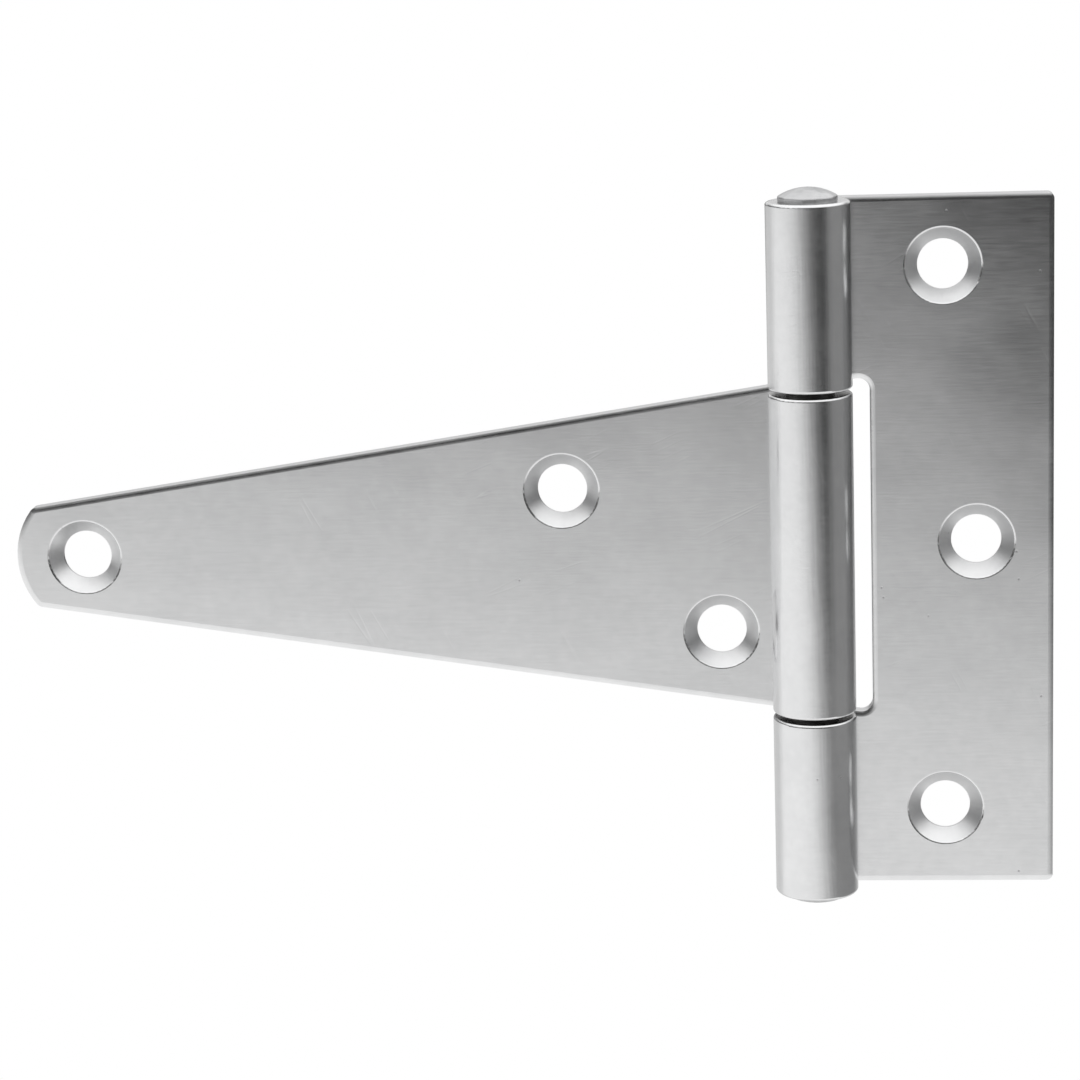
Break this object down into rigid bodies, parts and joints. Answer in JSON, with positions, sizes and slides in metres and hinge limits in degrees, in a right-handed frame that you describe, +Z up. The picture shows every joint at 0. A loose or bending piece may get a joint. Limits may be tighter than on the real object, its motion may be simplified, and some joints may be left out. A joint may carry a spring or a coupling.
{
  "type": "tee hinge",
  "caption": "Light plated steel tee hinge: a tapered strap for the gate and a rectangular leaf for the post, joined by rolled knuckles on a fixed pin.",
  "frame": {"origin": "midway between the post leaf's two outer screw holes, on the plane of the leaf backs, which is the face of the post", "axes": "+Z up along the pin, +X from the strap's tip towards the post leaf, +Y into the post and the gate; the barrel stands forward towards -Y"},
  "size_m": [0.0986, 0.0078, 0.0678],
  "materials": {
    "zinc_sheet": "bright zinc plated cold rolled sheet steel",
    "zinc_pin": "zinc plated wire, peened at both ends"
  },
  "bodies": {
    "post_side": {"post_leaf": "zinc_sheet", "hinge_pin": "zinc_pin"},
    "gate_side": {"strap_leaf": "zinc_sheet"}
  },
  "joints": [
    {"name": "strap_swing", "type": "hinge", "parent": "post_side", "child": "gate_side", "pos_m": [-0.0123, -0.0039, -0.0004], "axis": [0, 0, 1], "range_deg": [-105, 190]}
  ]
}
